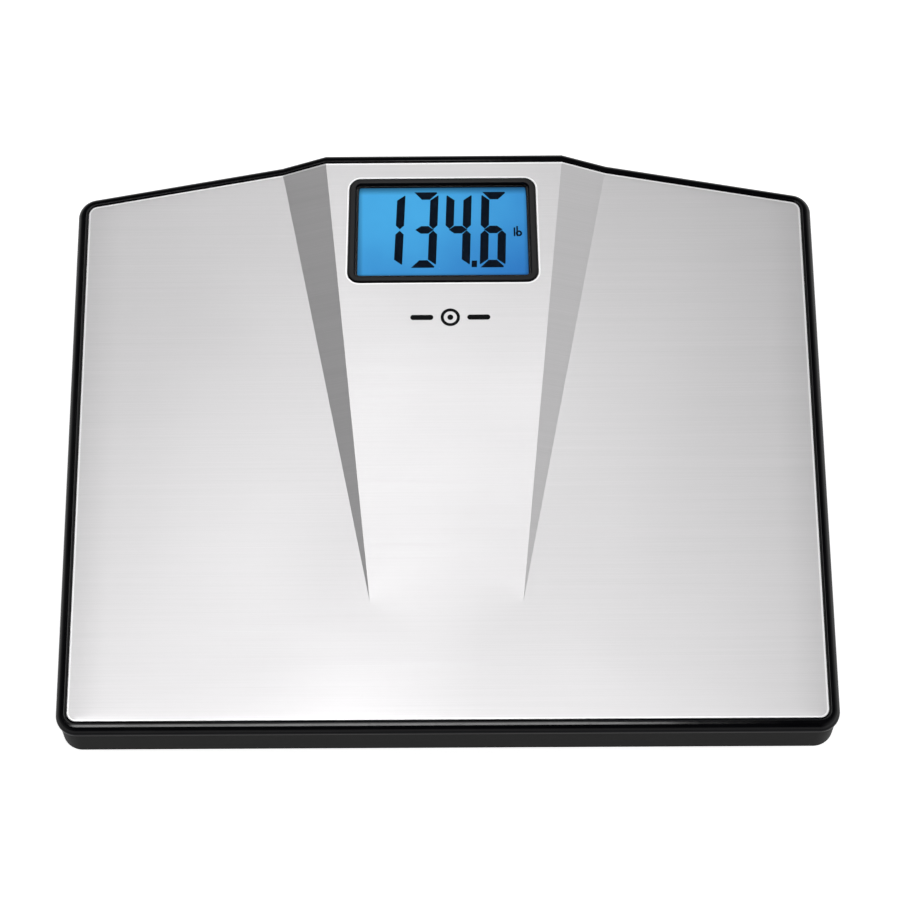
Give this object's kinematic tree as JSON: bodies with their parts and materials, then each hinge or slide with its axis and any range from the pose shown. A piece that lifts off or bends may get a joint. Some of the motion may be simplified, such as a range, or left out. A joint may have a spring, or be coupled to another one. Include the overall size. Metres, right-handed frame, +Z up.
{
  "type": "digital bathroom scale",
  "caption": "Wide flat electronic bathroom scale with a brushed steel platform, raised backlit display panel, dark rim and base, and sprung feet.",
  "frame": {"origin": "on the floor, under the middle of the scale's outline", "axes": "+X to the right of a user who faces the display, +Y towards the display edge, +Z up"},
  "size_m": [0.401, 0.332, 0.0456],
  "materials": {
    "brushed_steel_plate": "satin, grain along X",
    "gloss_black": "gloss",
    "dark_plastic": "fine matt texture",
    "clear_lens": "gloss",
    "lcd_glass": "gloss, backlit blue",
    "backlight": "satin",
    "white_plastic": "matt",
    "rubber_black": "matt",
    "rubber_grey": "matt",
    "circuit_board": "satin",
    "black_epoxy": "satin",
    "steel_bright": "bright",
    "cell_steel": "satin",
    "battery_jacket": "gloss",
    "wire_red": "satin",
    "wire_black": "satin",
    "wire_grey": "satin"
  },
  "bodies": {
    "case": {"platform_plate": "brushed_steel_plate", "platform_frame": "gloss_black", "base_cover": "dark_plastic", "display_bezel": "gloss_black", "display_lens": "clear_lens", "lcd_panel": "lcd_glass", "backlight_panel": "backlight", "display_carrier": "white_plastic", "zebra_connector": "rubber_grey", "main_board": "circuit_board", "controller_chip": "black_epoxy", "board_screw_1": "steel_bright", "board_screw_2": "steel_bright", "board_screw_3": "steel_bright", "board_screw_4": "steel_bright", "load_cell_front_left": "cell_steel", "load_cell_front_right": "cell_steel", "load_cell_rear_left": "cell_steel", "load_cell_rear_right": "cell_steel", "load_cell_bracket_front_left": "white_plastic", "load_cell_bracket_front_right": "white_plastic", "load_cell_bracket_rear_left": "white_plastic", "load_cell_bracket_rear_right": "white_plastic", "battery_1": "battery_jacket", "battery_2": "battery_jacket", "battery_3": "battery_jacket", "contact_spring_1": "steel_bright", "contact_spring_2": "steel_bright", "contact_spring_3": "steel_bright", "contact_plate_1": "steel_bright", "contact_plate_2": "steel_bright", "contact_plate_3": "steel_bright", "unit_switch_housing": "black_epoxy", "case_screw_1": "steel_bright", "case_screw_2": "steel_bright", "case_screw_3": "steel_bright", "case_screw_4": "steel_bright", "case_screw_5": "steel_bright", "case_screw_6": "steel_bright", "case_screw_7": "steel_bright", "case_screw_8": "steel_bright", "sensor_lead_front_left": "wire_grey", "sensor_lead_front_right": "wire_grey", "sensor_lead_rear_left": "wire_grey", "sensor_lead_rear_right": "wire_grey", "battery_lead_positive": "wire_red", "battery_lead_negative": "wire_black", "unit_switch_lead": "wire_black"},
    "foot_front_left": {"foot_cup_front_left": "dark_plastic", "foot_pad_front_left": "rubber_black"},
    "foot_front_right": {"foot_cup_front_right": "dark_plastic", "foot_pad_front_right": "rubber_black"},
    "foot_rear_left": {"foot_cup_rear_left": "dark_plastic", "foot_pad_rear_left": "rubber_black"},
    "foot_rear_right": {"foot_cup_rear_right": "dark_plastic", "foot_pad_rear_right": "rubber_black"},
    "battery_door": {"battery_door": "dark_plastic"},
    "unit_switch": {"unit_switch_slider": "dark_plastic"}
  },
  "joints": [
    {"name": "foot_front_left_press", "type": "slide", "parent": "case", "child": "foot_front_left", "axis": [0, 0, 1], "range_m": [0, 0.0005], "stiffness_N_per_m": 980000},
    {"name": "foot_front_right_press", "type": "slide", "parent": "case", "child": "foot_front_right", "axis": [0, 0, 1], "range_m": [0, 0.0005], "stiffness_N_per_m": 980000},
    {"name": "foot_rear_left_press", "type": "slide", "parent": "case", "child": "foot_rear_left", "axis": [0, 0, 1], "range_m": [0, 0.0005], "stiffness_N_per_m": 980000},
    {"name": "foot_rear_right_press", "type": "slide", "parent": "case", "child": "foot_rear_right", "axis": [0, 0, 1], "range_m": [0, 0.0005], "stiffness_N_per_m": 980000},
    {"name": "battery_door_hinge", "type": "hinge", "parent": "case", "child": "battery_door", "pos_m": [0, 0.0495, 0.0051], "axis": [1, 0, 0], "range_deg": [0, 75]},
    {"name": "unit_switch_slide", "type": "slide", "parent": "case", "child": "unit_switch", "axis": [1, 0, 0], "range_m": [0, 0.004]}
  ]
}
